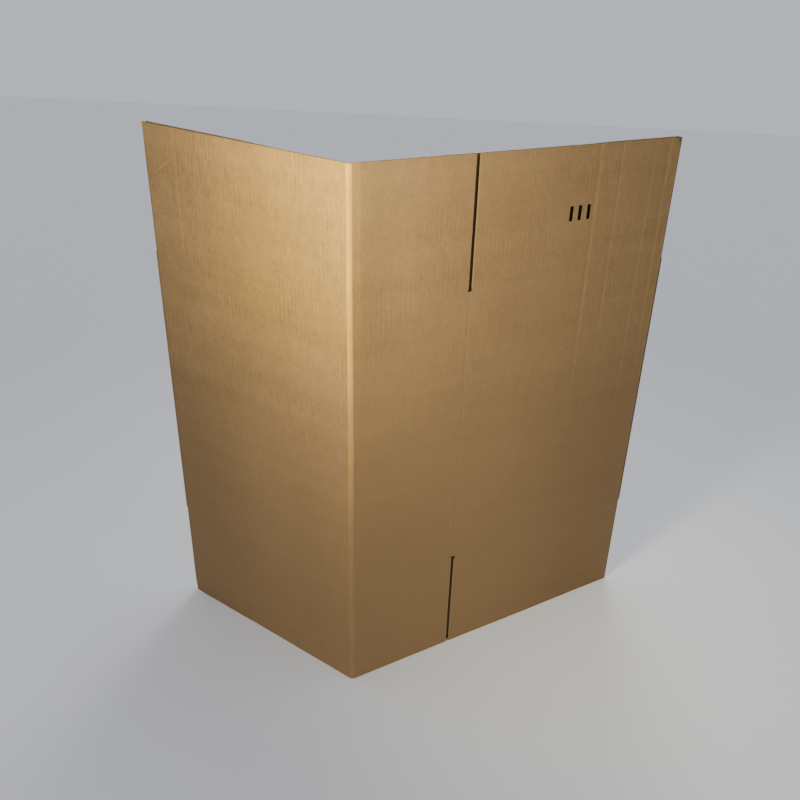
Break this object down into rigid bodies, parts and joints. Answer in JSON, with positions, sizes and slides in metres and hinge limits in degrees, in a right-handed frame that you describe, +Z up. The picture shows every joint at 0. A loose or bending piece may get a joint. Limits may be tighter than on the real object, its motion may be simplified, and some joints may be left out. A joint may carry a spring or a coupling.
{
  "type": "knocked-down cardboard carton",
  "caption": "Flat-packed slotted shipping carton of corrugated board, bent once and standing on its flap edges as an upright V, with flaps that fold outward.",
  "frame": {"origin": "centre of the bounding box, on the floor", "axes": "+Z up along the flutes; -Y towards the outer side of the bend; the V opens to +Y, with the longer arm on +X"},
  "size_m": [0.8422, 0.3334, 0.9],
  "materials": {
    "kraft_board": "matt brown kraft liner with faint flute lines"
  },
  "bodies": {
    "carton_body": {"carton_body": "kraft_board"},
    "front_short_flap_top": {"front_short_flap_top": "kraft_board"},
    "front_short_flap_bottom": {"front_short_flap_bottom": "kraft_board"},
    "back_short_flap_top": {"back_short_flap_top": "kraft_board"},
    "back_short_flap_bottom": {"back_short_flap_bottom": "kraft_board"},
    "back_long_flap_top": {"back_long_flap_top": "kraft_board"},
    "back_long_flap_bottom": {"back_long_flap_bottom": "kraft_board"}
  },
  "joints": [
    {"name": "front_short_flap_top_fold", "type": "hinge", "parent": "carton_body", "child": "front_short_flap_top", "pos_m": [0.09074, -0.05793, 0.70015], "axis": [0.8387, 0.5446, 0], "range_deg": [0, 179.5]},
    {"name": "front_short_flap_bottom_fold", "type": "hinge", "parent": "carton_body", "child": "front_short_flap_bottom", "pos_m": [0.09074, -0.05793, 0.19985], "axis": [-0.8387, -0.5446, 0], "range_deg": [0, 179.5]},
    {"name": "back_short_flap_top_fold", "type": "hinge", "parent": "carton_body", "child": "back_short_flap_top", "pos_m": [-0.08327, -0.15052, 0.70015], "axis": [-0.8387, 0.5446, 0], "range_deg": [0, 179.5]},
    {"name": "back_short_flap_bottom_fold", "type": "hinge", "parent": "carton_body", "child": "back_short_flap_bottom", "pos_m": [-0.08327, -0.15052, 0.19985], "axis": [0.8387, -0.5446, 0], "range_deg": [0, 179.5]},
    {"name": "back_long_flap_top_fold", "type": "hinge", "parent": "carton_body", "child": "back_long_flap_top", "pos_m": [-0.07607, -0.15052, 0.70015], "axis": [-0.8387, -0.5446, 0], "range_deg": [0, 179.5]},
    {"name": "back_long_flap_bottom_fold", "type": "hinge", "parent": "carton_body", "child": "back_long_flap_bottom", "pos_m": [-0.07607, -0.15052, 0.19985], "axis": [0.8387, 0.5446, 0], "range_deg": [0, 179.5]}
  ]
}
